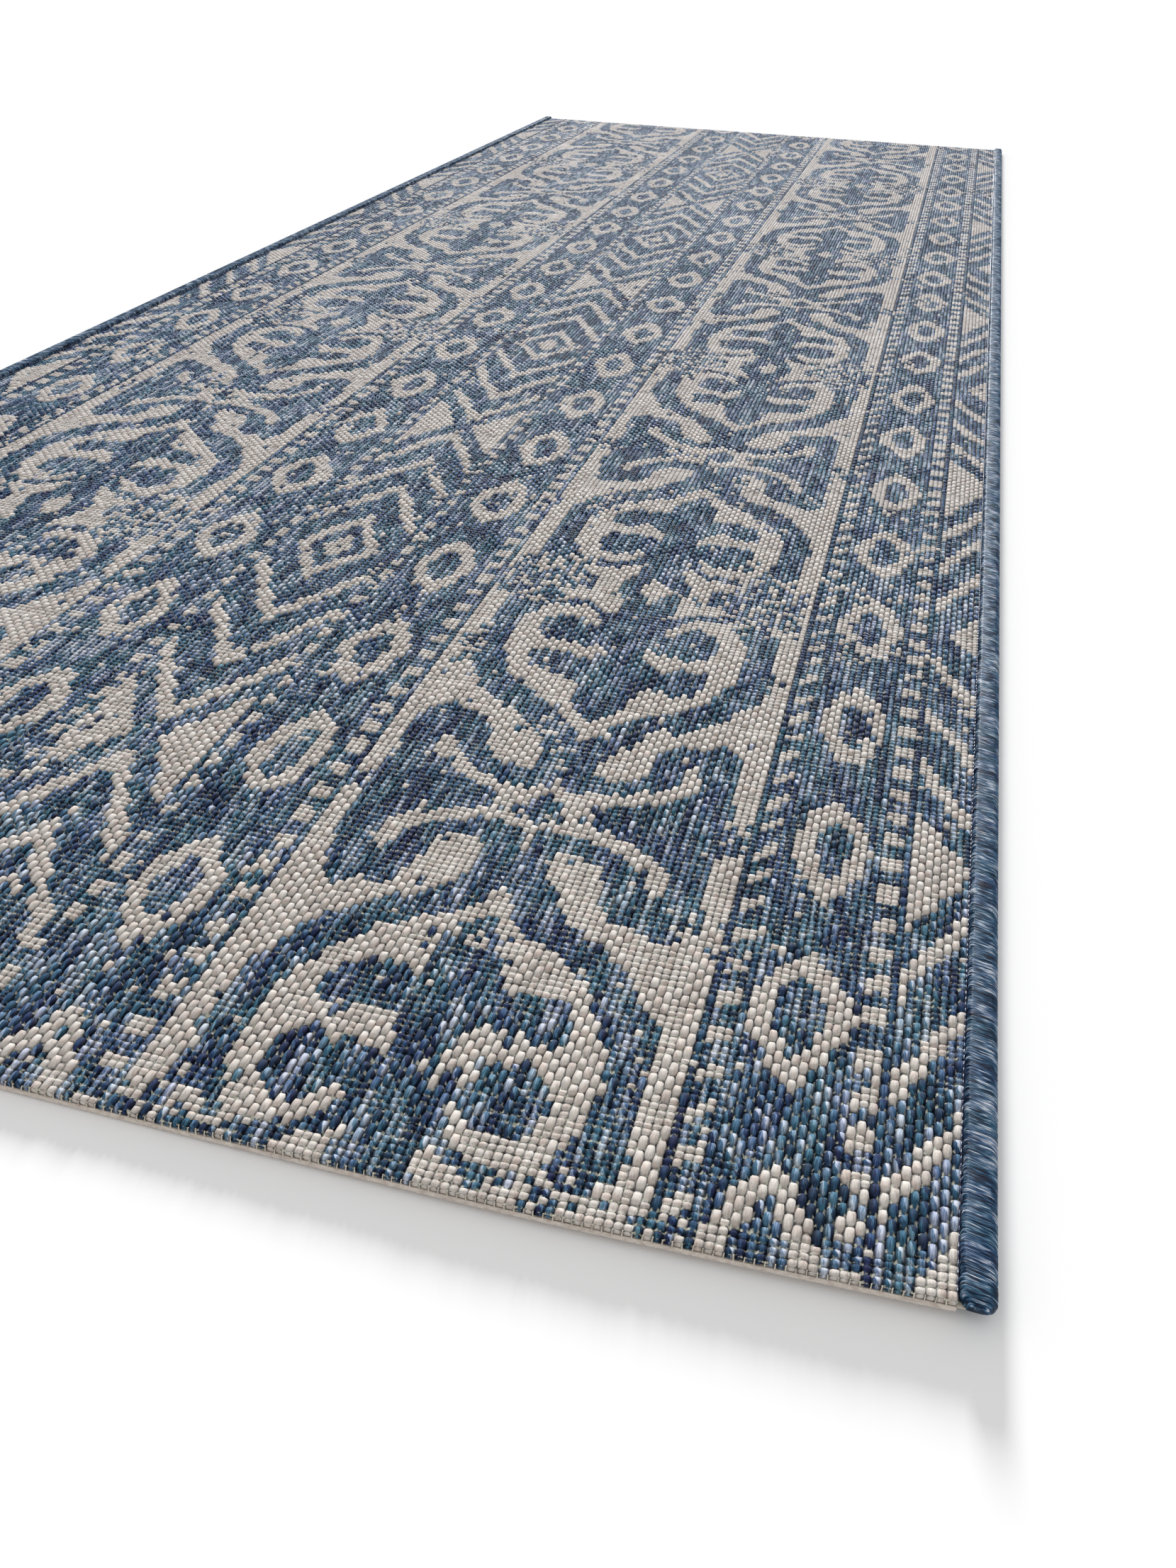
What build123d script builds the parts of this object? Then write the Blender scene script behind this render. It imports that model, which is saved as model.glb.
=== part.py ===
from build123d import *
import os

# A flat-woven runner rug, lying flat. X runs across it and Y along it, +Z is up, and the
# origin is on the floor under its middle. All sizes are in millimetres.

# Overall sizes
rug_width = 800.0                # across, over the two serged edges
rug_length = 2210.0              # along, over the two taped ends

# The cloth, from the floor up: backing coat, ground weave, figured face yarn
backing_thickness = 1.0
ground_thickness = 1.2
face_thickness = 2.8
yarn_pitch = 3.15                # one face column, and one pick

# The serged long edges: yarn wrapped round a filler cord and the bare selvedge
serging_width = 11.5
serging_height = 7.5
serging_top_outer_radius = 3.7
serging_floor_outer_radius = 2.5
serging_top_inner_radius = 1.8
serging_end_closure = 4.0        # solid yarn past each end of the filler cord
serging_end_radius = 1.5
serging_wrap = 1.2               # yarn outside the filler cord
filler_cord_diameter = 4.6
selvedge_tuck = 3.5              # ground weave caught inside the serging
lock_thread_width = 0.8          # clear thread that locks the wraps along the cloth
lock_thread_height = 0.5
lock_thread_end_gap = 2.0

# The taped short ends: tape under the cloth, turned up over the cut edge
tape_under_width = 14.0
tape_lip_thickness = 0.8
end_thread_width = 0.6           # one small stitch stands between every two face columns
end_thread_height = 2.2

# Worked out from the sizes above
cloth_width = rug_width - 2 * serging_width
cloth_length = rug_length - 2 * tape_lip_thickness
ground_level = backing_thickness
face_level = ground_level + ground_thickness
cloth_top = face_level + face_thickness
column_count = round(cloth_width / yarn_pitch)
column_pitch = cloth_width / column_count
cord_level = serging_height / 2
cord_inset = serging_wrap + filler_cord_diameter / 2

bottom = (Align.CENTER, Align.CENTER, Align.MIN)
inner_edge_bottom = (Align.MIN, Align.MIN)

os.makedirs("parts", exist_ok=True)


def save(piece, name):
    """Label a finished piece and write it as one STEP file named after it."""
    piece.part.label = name
    export_step(piece.part, f"parts/{name}.step")


# ---- Cloth ---------------------------------------------------------------------------

# Backing coat: the thin layer that lies on the floor between the two end tapes.
with BuildPart() as backing:
    Box(cloth_width, rug_length - 2 * tape_under_width, backing_thickness, align=bottom)
save(backing, "backing")

# Ground weave: the plain warp and weft that hold the face yarn. Its selvedges run past
# the face on both long sides, into the serging.
with BuildPart(Plane.XY.offset(ground_level)) as ground_weave:
    Box(cloth_width + 2 * selvedge_tuck, cloth_length, ground_thickness, align=bottom)
save(ground_weave, "ground_weave")

# Woven face: the figured yarn floats, drawn as one plain layer up to their crowns.
with BuildPart(Plane.XY.offset(face_level)) as woven_face:
    Box(cloth_width, cloth_length, face_thickness, align=bottom)
save(woven_face, "woven_face")


# ---- Serged long edges ---------------------------------------------------------------

def cord_section_plane():
    """The upright plane across the right-hand filler cord, on the cord's centre."""
    return Plane.XZ.shift_origin((rug_width / 2 - cord_inset, 0, cord_level))


def make_serging():
    """The right-hand serging, round its filler cord and the cloth's selvedge."""
    with BuildPart() as serging:
        with BuildSketch(Plane.XZ.shift_origin((cloth_width / 2, 0, 0))) as profile:
            Rectangle(serging_width, serging_height, align=inner_edge_bottom)
            inner_side = profile.vertices().group_by(Axis.X)[0].sort_by(Axis.Y)
            outer_side = profile.vertices().group_by(Axis.X)[-1].sort_by(Axis.Y)
            fillet(inner_side[-1], serging_top_inner_radius)
            fillet(outer_side[0], serging_floor_outer_radius)
            fillet(outer_side[-1], serging_top_outer_radius)
        extrude(amount=rug_length / 2, both=True)
        end_edges = serging.faces().filter_by(Axis.Y).edges()
        rolled_edges = end_edges.filter_by(lambda edge: edge.center().Z > serging_floor_outer_radius)
        fillet(rolled_edges.filter_by(lambda edge: edge.center().X > cloth_width / 2), serging_end_radius)
        with BuildSketch(cord_section_plane()):
            Circle(filler_cord_diameter / 2)
        extrude(amount=rug_length / 2 - serging_end_closure, both=True, mode=Mode.SUBTRACT)
        with Locations((cloth_width / 2, 0, ground_level)):
            Box(
                2 * selvedge_tuck,
                cloth_length,
                ground_thickness,
                align=bottom,
                mode=Mode.SUBTRACT,
            )
    return serging


def make_filler_cord():
    """The right-hand filler cord, closed in by the serging all round."""
    with BuildPart() as cord:
        with BuildSketch(cord_section_plane()):
            Circle(filler_cord_diameter / 2)
        extrude(amount=rug_length / 2 - serging_end_closure, both=True)
    return cord


def make_lock_thread():
    """The right-hand lock thread, on the face and against the serging."""
    with BuildPart(Plane.XY.offset(cloth_top)) as thread:
        with Locations((cloth_width / 2 - lock_thread_width / 2, 0)):
            Box(
                lock_thread_width,
                cloth_length - 2 * lock_thread_end_gap,
                lock_thread_height,
                align=bottom,
            )
    return thread


def save_right_and_left(make_piece, name):
    """Write a right-hand edge piece, and its mirror image for the left-hand edge."""
    right = make_piece()
    with BuildPart() as left:
        add(mirror(right.part, about=Plane.YZ, mode=Mode.PRIVATE))
    save(right, f"{name}_right")
    save(left, f"{name}_left")


save_right_and_left(make_serging, "serging")
save_right_and_left(make_filler_cord, "filler_cord")
save_right_and_left(make_lock_thread, "lock_thread")


# ---- Taped short ends ----------------------------------------------------------------

def make_end_tape():
    """The front end's tape: a strip under the cloth with a lip over its cut edge."""
    front = -rug_length / 2
    with BuildPart() as tape:
        with Locations((0, front + tape_under_width / 2, 0)):
            Box(cloth_width, tape_under_width, backing_thickness, align=bottom)
        with Locations((0, front + tape_lip_thickness / 2, 0)):
            Box(cloth_width, tape_lip_thickness, face_level, align=bottom)
    return tape


def make_end_threads():
    """The front end's stitches, one between every two face columns, on the tape's lip."""
    front = -rug_length / 2 + tape_lip_thickness / 2
    with BuildPart(Plane.XY.offset(face_level)) as threads:
        with Locations((0, front)):
            with GridLocations(column_pitch, 0, column_count - 1, 1):
                Box(end_thread_width, tape_lip_thickness, end_thread_height, align=bottom)
    return threads


def save_front_and_back(make_piece, name):
    """Write a front end's piece, and its mirror image for the back end."""
    front = make_piece()
    with BuildPart() as back:
        add(mirror(front.part, about=Plane.XZ, mode=Mode.PRIVATE))
    save(front, f"{name}_front")
    save(back, f"{name}_back")


save_front_and_back(make_end_tape, "end_tape")
save_front_and_back(make_end_threads, "end_threads")
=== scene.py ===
import math

import bpy
import numpy as np
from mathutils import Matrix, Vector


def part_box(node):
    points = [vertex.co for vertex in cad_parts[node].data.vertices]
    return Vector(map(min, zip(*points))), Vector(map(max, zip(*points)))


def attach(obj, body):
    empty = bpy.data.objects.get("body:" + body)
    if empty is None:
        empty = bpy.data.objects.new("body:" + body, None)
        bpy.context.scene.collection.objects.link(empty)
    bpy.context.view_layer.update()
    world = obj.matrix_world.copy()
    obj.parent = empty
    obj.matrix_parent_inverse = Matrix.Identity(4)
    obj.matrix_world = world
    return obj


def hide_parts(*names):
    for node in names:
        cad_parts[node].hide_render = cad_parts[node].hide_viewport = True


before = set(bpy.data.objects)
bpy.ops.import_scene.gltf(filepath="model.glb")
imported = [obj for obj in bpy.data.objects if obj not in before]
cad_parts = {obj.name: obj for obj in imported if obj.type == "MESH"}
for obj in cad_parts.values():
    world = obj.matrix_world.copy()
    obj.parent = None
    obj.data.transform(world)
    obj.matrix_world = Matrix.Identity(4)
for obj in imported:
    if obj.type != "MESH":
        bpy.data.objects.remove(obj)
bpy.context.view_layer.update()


# The view: a camera low over the rug's front end, near its right edge, looking along it and
# down at the cloth. It has no shift, and everything before it is sharp.
rug_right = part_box("serging_right")[1].x
rug_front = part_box("serging_right")[0].y
camera_lens = bpy.data.cameras.new("camera")
camera_lens.sensor_fit = "VERTICAL"
camera_lens.sensor_height = 36.0
camera_lens.lens = 28.83
camera_lens.clip_start = 0.01
camera = bpy.data.objects.new("camera", camera_lens)
camera_height = 0.3415
camera.location = (rug_right - 0.070, rug_front - 0.230, camera_height)
tilt, roll, turn_left = (54.55, -1.598, 15.149)
camera.rotation_euler = [math.radians(angle) for angle in (tilt, roll, turn_left)]
bpy.context.scene.collection.objects.link(camera)
bpy.context.scene.camera = camera


# Ground weave: the plain cloth of cream warp and weft that holds the face yarn. It is woven in
# one with the face, its weft ribs run across the rug, and its selvedges go into the serging.
MM = 0.001
BODY = "root"


def flat_index(rows, cols):
    """The quads of a grid of points, rows of them one after another, facing up."""
    corner = (np.arange(rows - 1)[:, None] * cols + np.arange(cols - 1)[None, :]).ravel()
    return np.stack([corner, corner + 1, corner + cols + 1, corner + cols], 1)


def make_mesh(name, points, quads, caps=(), rough_from=None):
    """A mesh of quads and a few many-sided caps. Faces from rough_from on are shaded flat."""
    mesh = bpy.data.meshes.new(name)
    mesh.vertices.add(len(points))
    mesh.vertices.foreach_set("co", np.asarray(points, np.float32).ravel())
    corners = np.concatenate([quads.ravel()] + [np.asarray(cap) for cap in caps])
    sizes = [4] * len(quads) + [len(cap) for cap in caps]
    starts = np.concatenate([[0], np.cumsum(sizes)[:-1]])
    mesh.loops.add(len(corners))
    mesh.loops.foreach_set("vertex_index", corners.astype(np.int32))
    mesh.polygons.add(len(sizes))
    mesh.polygons.foreach_set("loop_start", starts.astype(np.int32))
    smooth = np.ones(len(sizes), bool)
    smooth[len(quads) if rough_from is None else rough_from:] = False
    mesh.polygons.foreach_set("use_smooth", smooth)
    mesh.update(calc_edges=True)
    return mesh


def set_piece(name, mesh, finish, nodes):
    """Puts a finished mesh in the scene as one piece of the rug, in place of its plain solid."""
    mesh.materials.append(finish)
    piece = bpy.data.objects.new(name, mesh)
    bpy.context.scene.collection.objects.link(piece)
    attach(piece, BODY)
    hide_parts(*nodes)
    return piece


def dye(red, green, blue):
    """A colour from its screen values, 0 to 255, as the shader's linear ones."""
    shares = [c / 255 for c in (red, green, blue)]
    return [s / 12.92 if s <= 0.04045 else ((s + 0.055) / 1.055) ** 2.4 for s in shares] + [1.0]


def new_finish(name, roughness):
    """A material with only its shader; gives the material, its node tree and the shader."""
    finish = bpy.data.materials.new(name)
    finish.use_nodes = True
    shader = finish.node_tree.nodes["Principled BSDF"]
    shader.inputs["Roughness"].default_value = roughness
    return finish, finish.node_tree, shader


def add(tree, kind, sources, **settings):
    """A new node; its inputs are filled from values, or linked from other nodes' outputs."""
    node = tree.nodes.new("ShaderNode" + kind)
    for name, value in settings.items():
        setattr(node, name, value)
    for name, value in sources.items():
        if isinstance(value, bpy.types.NodeSocket):
            tree.links.new(value, node.inputs[name])
        else:
            node.inputs[name].default_value = value
    return node


def ramp(tree, value, stops):
    """A colour read off a row of dyes by a value from 0 to 1."""
    node = add(tree, "ValToRGB", {"Fac": value})
    scale = node.color_ramp.elements
    scale[0].position, scale[0].color = stops[0][0], dye(*stops[0][1])
    scale[1].position, scale[1].color = stops[-1][0], dye(*stops[-1][1])
    for place, colour in stops[1:-1]:
        scale.new(place).color = dye(*colour)
    return node.outputs["Color"]


def grain(tree, stretch, detail=2.0):
    """Noise on the piece's own coordinates, from 0 to 1, this many cells to a metre each way."""
    place = add(tree, "TexCoord", {}).outputs["Object"]
    moved = add(tree, "Mapping", {"Vector": place, "Scale": stretch}).outputs[0]
    sources = {"Vector": moved, "Scale": 1.0, "Detail": detail}
    return add(tree, "TexNoise", sources).outputs["Fac"]


def raise_fibres(tree, shader, height, distance, strength):
    """Fine relief from a height of 0 to 1."""
    sources = {"Height": height, "Distance": distance, "Strength": strength}
    bump = add(tree, "Bump", sources)
    tree.links.new(bump.outputs["Normal"], shader.inputs["Normal"])


drawn_length = 0.32
straight_half = 0.235
drawn_width = 0.155
draw_most = 0.0046


def draw_in(x, y):
    """The front end of the cloth is drawn in a little towards its two corners."""
    reach = np.clip((rug_front + drawn_length - y) / drawn_length, 0, 1)
    pull = np.clip((np.abs(x) - straight_half) / drawn_width, 0, None) ** 1.5
    return y + draw_most * pull * reach * reach * (3 - 2 * reach)


def make_ribbed_cloth(name, node, columns, ribs, rib_depth, finish):
    """A thin cloth in the room of its plain solid, with rounded ribs across it on both sides."""
    low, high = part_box(node)
    steps = 4
    x = np.linspace(low.x, high.x, columns + 1)
    y = np.linspace(low.y, high.y, ribs * steps + 1)
    groove = np.abs(np.cos(math.pi * np.arange(ribs * steps + 1) / steps))
    depth = rib_depth * groove[:, None] ** 3 * np.ones((1, columns + 1))
    across = x[None, :] + 0 * depth
    along = draw_in(across, y[:, None] + 0 * depth)
    top = np.stack([across, along, high.z - depth], 2).reshape(-1, 3)
    bottom = np.stack([across, along, low.z + depth], 2).reshape(-1, 3)
    rows, cols = depth.shape
    upper = flat_index(rows, cols)
    lower = upper[:, ::-1] + rows * cols
    left = np.arange(rows) * cols
    right = left + cols - 1
    under = rows * cols
    sides = [
        np.stack([left[:-1], left[1:], left[1:] + under, left[:-1] + under], 1),
        np.stack([right[1:], right[:-1], right[:-1] + under, right[1:] + under], 1),
    ]
    front = np.arange(cols)
    back = front + (rows - 1) * cols
    sides.append(np.stack([front[1:], front[:-1], front[:-1] + under, front[1:] + under], 1))
    sides.append(np.stack([back[:-1], back[1:], back[1:] + under, back[:-1] + under], 1))
    quads = np.concatenate([upper, lower] + sides)
    mesh = make_mesh(name, np.concatenate([top, bottom]), quads, (), len(upper) + len(lower))
    return set_piece(name, mesh, finish, [node])


ground_finish, tree, shader = new_finish("ground_yarn", 0.8)
cream_tone = grain(tree, (700, 160, 700), 3.0)
cream = ramp(tree, cream_tone, [(0.3, (150, 142, 128)), (0.5, (190, 182, 166)), (0.75, (212, 205, 190))])
tree.links.new(cream, shader.inputs["Base Color"])
shader.inputs["Sheen Weight"].default_value = 0.15
raise_fibres(tree, shader, grain(tree, (300, 2400, 300), 2.0), 0.0002, 0.5)

picks = 701
cloth_columns = 14
ground_rib = 0.00032
ground_weave_cloth = make_ribbed_cloth(
    "ground_weave_cloth", "ground_weave", cloth_columns, picks, ground_rib, ground_finish
)


# Backing coat: a thin layer of latex spread on the underside between the two end tapes. It
# keeps the print of the weft ribs, and stops the rug from creeping on the floor.
backing_picks = 693
backing_rib = 0.00022


def sums(tree, operation, first, second):
    """One arithmetic step between two values."""
    return add(tree, "Math", {0: first, 1: second}, operation=operation).outputs[0]


def plus(tree, first, second):
    """Two values added."""
    return sums(tree, "ADD", first, second)


def times(tree, first, second):
    """Two values multiplied."""
    return sums(tree, "MULTIPLY", first, second)


def eased(tree, value, low, high, start=0.0, end=1.0):
    """The value carried smoothly from start, at low, to end, at high."""
    sources = {"Value": value, "From Min": low, "From Max": high, "To Min": start, "To Max": end}
    return add(tree, "MapRange", sources, interpolation_type="SMOOTHSTEP").outputs[0]


def blend_of(tree, factor, first, second, how="MIX"):
    """Two colours mixed by a factor."""
    sources = {"Fac": factor, "Color1": first, "Color2": second}
    return add(tree, "MixRGB", sources, blend_type=how).outputs["Color"]


def darkened(tree, colour, share):
    """A colour times a share of light, from 0 to 1."""
    grey = add(tree, "CombineColor", {0: share, 1: share, 2: share}).outputs[0]
    return blend_of(tree, 1.0, colour, grey, "MULTIPLY")


backing_finish, tree, shader = new_finish("backing", 0.72)
coat_tone = grain(tree, (60, 60, 60), 5.0)
coat = ramp(tree, coat_tone, [(0.3, (164, 153, 141)), (0.55, (184, 174, 160)), (0.8, (199, 190, 178))])
warps_to_scale = 159.15
warp_sources = {"Scale": warps_to_scale, "Distortion": 0.6, "Detail": 1.0}
warp_line = add(tree, "TexWave", warp_sources, bands_direction="X")
place = add(tree, "TexCoord", {}).outputs["Object"]
tree.links.new(place, warp_line.inputs["Vector"])
shade = eased(tree, warp_line.outputs["Fac"], 0.0, 0.35, 0.86, 1.0)
tree.links.new(darkened(tree, coat, shade), shader.inputs["Base Color"])
pimples = plus(tree, times(tree, grain(tree, (900, 900, 900), 2.0), 0.4), warp_line.outputs["Fac"])
raise_fibres(tree, shader, pimples, 0.0003, 0.5)

backing_coat = make_ribbed_cloth(
    "backing_coat", "backing", cloth_columns, backing_picks, backing_rib, backing_finish
)


# Woven face: sand and blue yarn that floats along the rug over two picks of weft, set brick
# fashion, or over one. The figure is woven, so every edge in it is a step from yarn to yarn.
# The cloth is one sheet; it is laid here as 19 strips of 13 columns of yarn, edge to edge.
face_low, face_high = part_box("woven_face")
columns = 247
strips = 19
strip_columns = columns // strips
column_pitch = (face_high.x - face_low.x) / columns
pick_pitch = (face_high.y - face_low.y) / picks
column_mm = column_pitch / MM
pick_mm = pick_pitch / MM
dice = np.random.default_rng(7)


def drift(step_columns, step_picks, size=(picks, columns)):
    """A random field from -1 to 1 that changes smoothly over so many columns and picks."""
    knots = dice.uniform(-1, 1, (int(size[0] / step_picks) + 3, int(size[1] / step_columns) + 3))
    row = np.arange(size[0]) / step_picks
    col = np.arange(size[1]) / step_columns
    row_0 = row.astype(int)
    col_0 = col.astype(int)
    part = row - row_0
    row_part = (part * part * (3 - 2 * part))[:, None]
    part = col - col_0
    col_part = (part * part * (3 - 2 * part))[None, :]
    near = knots[np.ix_(row_0, col_0)] * (1 - col_part) + knots[np.ix_(row_0, col_0 + 1)] * col_part
    far = knots[np.ix_(row_0 + 1, col_0)] * (1 - col_part) + knots[np.ix_(row_0 + 1, col_0 + 1)] * col_part
    return near * (1 - row_part) + far * row_part


def inside(s, t, corners):
    """True where (s, t) lies within the outline through these corners."""
    found = np.zeros(s.shape, bool)
    for (s0, t0), (s1, t1) in zip(corners, corners[1:] + corners[:1]):
        if t0 != t1:
            beside = s < s0 + (t - t0) / (t1 - t0) * (s1 - s0)
            found ^= ((t0 > t) != (t1 > t)) & beside
    return found


def brushed(s, t, line, width):
    """True within half a width of the line through these points."""
    gap = np.full(s.shape, 1e3)
    for (s0, t0), (s1, t1) in zip(line, line[1:]):
        ds = s1 - s0
        dt = t1 - t0
        step = np.clip(((s - s0) * ds + (t - t0) * dt) / (ds * ds + dt * dt), 0, 1)
        gap = np.minimum(gap, np.hypot(s - s0 - step * ds, t - t0 - step * dt))
    return gap < width / 2


def chevrons(s, t, stripes):
    """True in stripes that slant back from the line s = 0, between these values of t on it."""
    slant = t + 1.8 * s
    found = np.zeros(s.shape, bool)
    for low, high in stripes:
        found |= (slant > low) & (slant < high)
    return found


# The figure is drawn in millimetres: s across from the middle line of its band, and t along
# from the middle of its medallion or diamond.
medallion_repeat = 451.3
first_medallion = 431.2
half_repeat = medallion_repeat / 2
ring_pitch = 105.2
first_ring = 2.1
rung_pitch = 6 * pick_mm
scroll_middle = 201.0
scroll = [
    (29, 31), (50, 30), (59, 40), (65, 54), (66, 76), (63, 97), (56, 111), (48, 122), (38, 131),
    (26, 139), (15, 147), (7, 157), (0, 171), (-9, 171), (-9, 150), (0, 150), (8, 140), (13, 128),
    (16, 112), (34, 111), (44, 107), (48, 96), (47, 87), (35, 87), (24, 93), (15, 88), (9, 76),
    (13, 67), (19, 74), (34, 75), (44, 74), (49, 63), (49, 51), (42, 43), (33, 42), (26, 48),
    (20, 54), (16, 49), (22, 38),
]
leaf = [
    (90, 88), (82, 90), (78, 104), (73, 116), (66, 125), (63, 133), (54, 138), (46, 146), (31, 153),
    (27, 160), (21, 168), (15, 179), (13, 194), (25, 198), (37, 192), (41, 182), (42, 170),
    (49, 159), (62, 157), (71, 151), (79, 160), (90, 160),
]
petal = [(11, 34), (15, 18), (21, 8), (21, -8), (36, -8), (37, 8), (52, 16), (50, 21), (34, 23), (19, 32)]
hook = [(4, 213), (12, 216), (24, 215), (38, 209), (50, 201), (59, 193), (60, 184)]


def draw_scrolls(s, t):
    """Chance of sand yarn in the wide band of medallions with scrolls, leaves and hooks."""
    cross = half_repeat - t
    drawn = inside(s, t, scroll) | inside(s, t, leaf) | inside(s, t, petal)
    drawn |= brushed(s, t, hook, 10)
    drawn |= s / 11 + t / 19 < 1
    drawn |= (s < 2) & (t > 192)
    drawn |= s / 28 + cross / 15 < 1
    drawn &= s / 9.5 + cross / 13 > 1
    chance = drawn.astype(float)
    chance[~drawn & (s > 41) & (t < 38)] = 0.34
    border = s > 80
    chance[border] = 1
    chance[border & (s < 90) & ((cross < 12) | (t < 26))] = 0.45
    return chance


def draw_rings(a, ring):
    """Sand yarn in a band of pointed rings; a is across and ring along from a ring's middle."""
    rim = (a / 19.5) ** 1.4 + (ring / 38) ** 1.4 < 1
    eye = (a / 8.4) ** 1.4 + (ring / 20) ** 1.4 < 1
    return rim & ~eye


def every(y, start, pitch):
    """How far y lies from the nearest of marks at this start and pitch."""
    return np.abs((y - start + pitch / 2) % pitch - pitch / 2)


def draw_figure(k, x, y):
    """Chance of sand yarn in column k from the middle, at x across and y along the rug."""
    side = np.abs(x)
    t = every(y, first_medallion, medallion_repeat)
    ring = every(y, first_ring, ring_pitch)
    rungs = every(y, 18.0, rung_pitch) < 4.8
    dots = (every(y, 5.0, rung_pitch) < 4.8) & (np.abs(side - 42) < 4)
    dashes = every(y - 0.75 * (side - 302), 15.0, rung_pitch) < 4.4
    middle = chevrons(side, t, [(-1, 20), (34, 52), (88, 108), (141, 161), (197, 217), (237, 400)])
    # Near the front end, the edge band's stripes are counted from the end itself.
    t_edge = np.where(y < half_repeat - 20, y + 7, t)
    edge = chevrons(390 - side, t_edge, [(-1, 32), (72, 93), (124, 144), (175, 195), (218, 400)])
    bands = [
        (0, 11, middle), (12, 14, dots), (15, 30, draw_rings(np.abs(side - 72.5), ring)), (31, 33, rungs),
        (35, 93, draw_scrolls(np.abs(side - scroll_middle), t)), (95, 97, dashes),
        (98, 111, draw_rings(np.abs(side - 329), ring)), (112, 114, rungs), (116, 123, edge),
    ]
    chance = np.zeros(x.shape)
    for first, last, drawn in bands:
        chance = np.where((k >= first) & (k <= last), drawn, chance)
    return chance


def on_float(field, start):
    """The field's value at the first pick of each cell's float."""
    return np.take_along_axis(field, np.clip(start, 0, picks - 1), axis=0)


# Floats: long ones in brick order, short ones in patches and along a few picks.
pick = np.arange(picks)[:, None] + np.zeros((1, columns), int)
column = np.arange(columns)[None, :] + np.zeros((picks, 1), int)
from_middle = column - columns // 2
unsteady_x = 2.0 * drift(9, 9) + 1.2 * drift(2, 2)
unsteady_y = 2.6 * drift(9, 9) + 2.0 * drift(2, 2)
plan = draw_figure(np.abs(from_middle), from_middle * column_mm, (pick + 0.5) * pick_mm) > 0.5
patches = 0.95 * drift(12, 18) + 0.70 * drift(4.5, 3) + 0.45 * drift(2, 2)
patches = patches + 0.25 * dice.uniform(-1, 1, (picks, columns))
tight_pick = dice.uniform(0, 1, picks) < 0.06
tight_pick |= np.roll(tight_pick, 1) & (dice.uniform(0, 1, picks) < 0.5)
narrow_band = np.isin(np.abs(from_middle), [12, 13, 14, 31, 32, 33, 95, 96, 97, 112, 113, 114])
sand_short_from = 0.58
blue_short_from = 0.22
short = patches > np.where(plan, sand_short_from, blue_short_from)
short |= tight_pick[:, None] & (drift(60, 1.5) > -0.15)
short |= narrow_band & (patches > -0.30)
first = 2 * ((pick + column) // 2) - column
long = ~on_float(short, first) & ~on_float(short, first + 1) & (first >= 0) & (first + 1 < picks)
start = np.where(long, first, pick)
length = np.where(long, 2, 1)

# Which yarn is up in each float: the drawn figure, a little unsteady, as hand-set work is.
drawn_x = from_middle * column_mm + on_float(unsteady_x, start)
drawn_y = (start + length / 2) * pick_mm + on_float(unsteady_y, start)
half_yarn = 0.9
on_left = draw_figure(np.abs(from_middle), drawn_x - half_yarn, drawn_y)
on_right = draw_figure(np.abs(from_middle), drawn_x + half_yarn, drawn_y)
chance = np.minimum(on_left, on_right)
worn = np.clip(1.2 * drift(7, 9) + 0.5 * drift(2, 3) - 0.72, 0, 0.5) + 0.012
chance = chance + (0.5 - chance) * 2 * on_float(worn, start) * 0.7
sand = on_float(dice.uniform(0, 1, (picks, columns)), start) < chance

# Each blue yarn is two plies dyed in stretches, so tones last for a few picks in one column.
tone = 0.46 + 0.30 * drift(1, 5) + 0.22 * drift(1, 2) + 0.12 * drift(12, 30) + 0.10 * drift(3, 8)
tone = on_float(tone + dice.normal(0, 0.08, (picks, columns)), start)
ply_drift = 0.50 * drift(1, 6) + 0.34 * drift(1, 2)
second = tone + on_float(ply_drift + dice.normal(0, 0.14, (picks, columns)), start)
dark_line = np.isin(np.abs(from_middle), [94, 115])
tone = np.where(dark_line & ~sand, 0.5 * tone, tone)
second = np.where(dark_line & ~sand, 0.5 * second, second)
yarn = np.stack([sand, np.clip(tone, 0.1, 1), np.clip(second, 0.1, 1), length == 1], 2).astype(np.float32)

# The floats' shape, in millimetres: three points to a column, and three rows to a pick.
long_crown = 4.78
short_crown = 4.50
sand_rise = 0.06
foot_height = 3.72
sand_foot_rise = 0.36
valley_height = 3.2
sand_valley_rise = 0.34
full_valley_rise = 0.30
sand_half_width = 0.34
blue_half_width = 0.285
most_lean = 0.16
most_stray = 0.26
rows = 3 * picks + 1
cols = 3 * columns + 1
row_pick = np.minimum(np.arange(rows) // 3, picks - 1)
row_place = np.append(np.tile([0.0, 0.25, 0.75], picks) + np.repeat(np.arange(picks), 3), picks)
along = (row_place[:, None] - start[row_pick]) / length[row_pick]
fullness = (1 - np.abs(2 * along - 1) ** 2.2) ** 0.5
crown = np.where(length == 2, long_crown, short_crown) + sand_rise * sand
crown = crown + on_float(dice.uniform(-0.16, 0.12, (picks, columns)), start)
lean = on_float(dice.uniform(-most_lean, most_lean, (picks, columns)), start)[row_pick] * fullness
stray = on_float(dice.uniform(-most_stray, most_stray, (picks, columns)), start)[row_pick]
foot = foot_height + sand_foot_rise * sand[row_pick]
height = foot + (crown[row_pick] - foot) * fullness
plump = on_float(dice.uniform(0.84, 1.14, (picks, columns)), start)
plump = plump * np.where(sand, sand_half_width, blue_half_width)
half_width = column_mm * plump[row_pick] * (0.42 + 0.58 * fullness)
beside = np.pad(fullness, ((0, 0), (1, 1)), mode="edge")
valley_x = (np.arange(columns + 1) - columns / 2) * column_mm + 0.26 * (beside[:, :-1] - beside[:, 1:])
valley_x[:, 0] = -columns / 2 * column_mm
valley_x[:, -1] = columns / 2 * column_mm
middle_x = (np.arange(columns) - columns // 2) * column_mm + stray
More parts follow.
